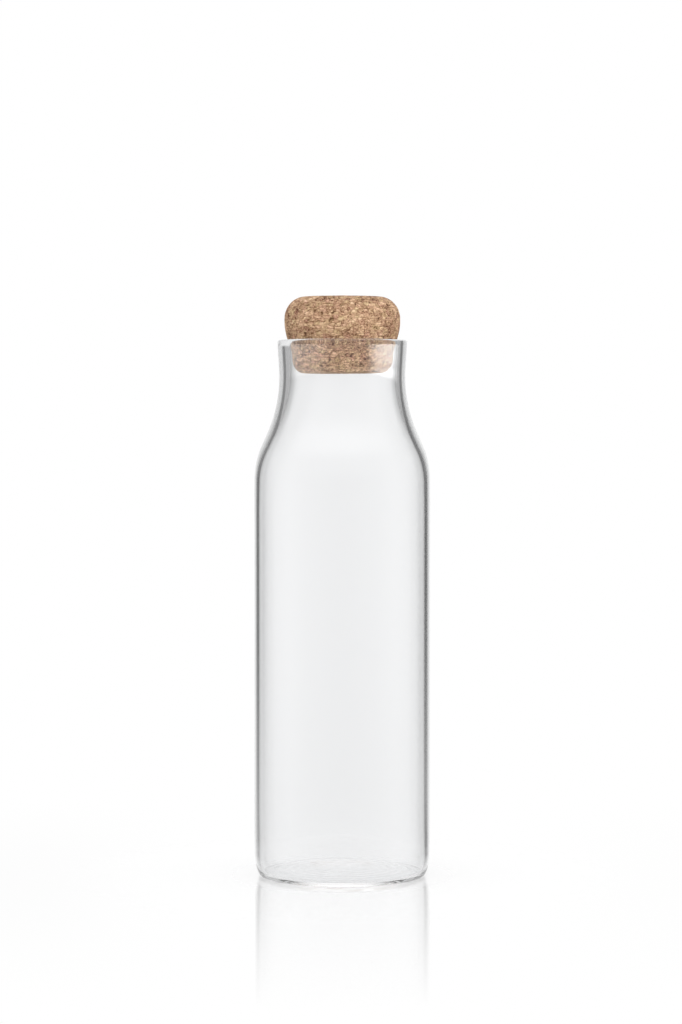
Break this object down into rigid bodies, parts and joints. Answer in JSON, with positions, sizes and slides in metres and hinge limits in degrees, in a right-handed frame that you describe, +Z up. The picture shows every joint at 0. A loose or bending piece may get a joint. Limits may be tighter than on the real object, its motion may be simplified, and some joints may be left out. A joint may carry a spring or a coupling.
{
  "type": "glass water bottle",
  "caption": "Clear glass water bottle with a straight round body, sloping shoulder and wide neck, closed by a cork stopper that pulls straight up out of the mouth.",
  "frame": {"origin": "middle of the bottle's base, on the plane it stands on", "axes": "+Z up along the bottle's axis, towards the mouth and the stopper; the bottle is round, so X and Y have no own direction"},
  "size_m": [0.082, 0.082, 0.27],
  "materials": {
    "clear_glass": "gloss",
    "agglomerated_cork": "matte"
  },
  "bodies": {
    "bottle": {"glass_bottle": "clear_glass"},
    "stopper": {"cork_stopper": "agglomerated_cork"}
  },
  "joints": [
    {"name": "stopper_lift", "type": "slide", "parent": "bottle", "child": "stopper", "axis": [0, 0, 1], "range_m": [0, 0.05]}
  ]
}
